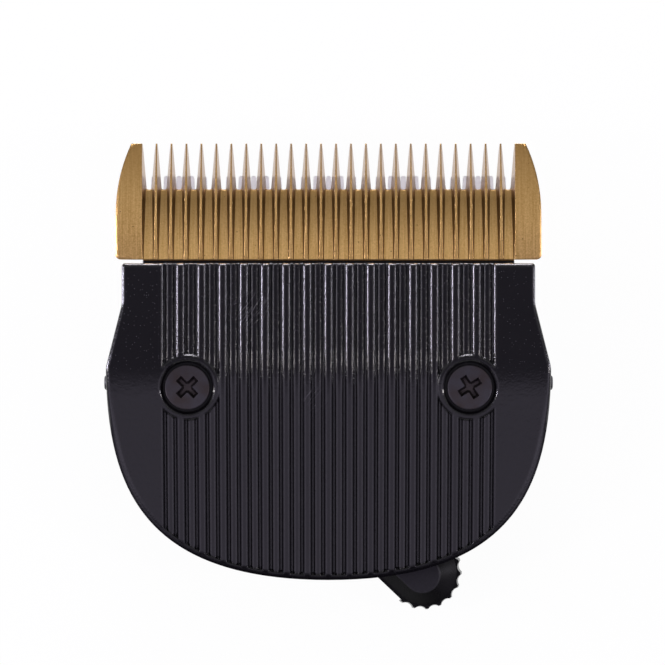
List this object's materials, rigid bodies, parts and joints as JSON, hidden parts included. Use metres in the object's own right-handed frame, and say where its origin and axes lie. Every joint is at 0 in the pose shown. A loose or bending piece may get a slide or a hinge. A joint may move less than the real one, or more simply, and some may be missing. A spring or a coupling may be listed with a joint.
{
  "type": "hair clipper blade",
  "caption": "Clip-on hair clipper blade head with a gold-coated toothed comb, ribbed black cover, sliding cutter and a side-swinging length lever.",
  "frame": {"origin": "midway between the two cover screws, in the rear seating face", "axes": "+X across the blade to the right seen from the front, +Y towards the teeth, +Z out of the front cover"},
  "size_m": [0.0492, 0.0511, 0.0138],
  "materials": {
    "cover_lacquer": "gloss",
    "comb_steel": "satin",
    "screw_steel": "satin",
    "insert_brass": "satin",
    "base_plastic": "matte",
    "lever_plastic": "satin",
    "plain_steel": "satin",
    "cutter_ceramic": "satin",
    "slide_plastic": "satin"
  },
  "bodies": {
    "head": {"blade_base": "base_plastic", "front_cover": "cover_lacquer", "comb_blade": "comb_steel", "cover_screws": "screw_steel", "screw_inserts": "insert_brass", "lever_washer": "plain_steel", "lever_screw": "screw_steel"},
    "lever": {"adjust_lever": "lever_plastic"},
    "carriage": {"cutter_carriage": "slide_plastic", "follower_pin": "plain_steel", "pressure_spring": "plain_steel"},
    "cutter": {"cutter_blade": "cutter_ceramic", "drive_yoke": "slide_plastic"}
  },
  "joints": [
    {"name": "lever_swing", "type": "hinge", "parent": "head", "child": "lever", "pos_m": [0, -0.0105, 0], "axis": [0, 0, -1], "range_deg": [0, 94]},
    {"name": "carriage_slide", "type": "slide", "parent": "head", "child": "carriage", "axis": [0, 1, 0], "range_m": [0, 0.0024]},
    {"name": "cutter_stroke", "type": "slide", "parent": "carriage", "child": "cutter", "axis": [1, 0, 0], "range_m": [-0.0012, 0.0012]}
  ],
  "couplings": [
    {"joint": "carriage_slide", "follows": "lever_swing", "m_per_rad": 0.0014628}
  ]
}
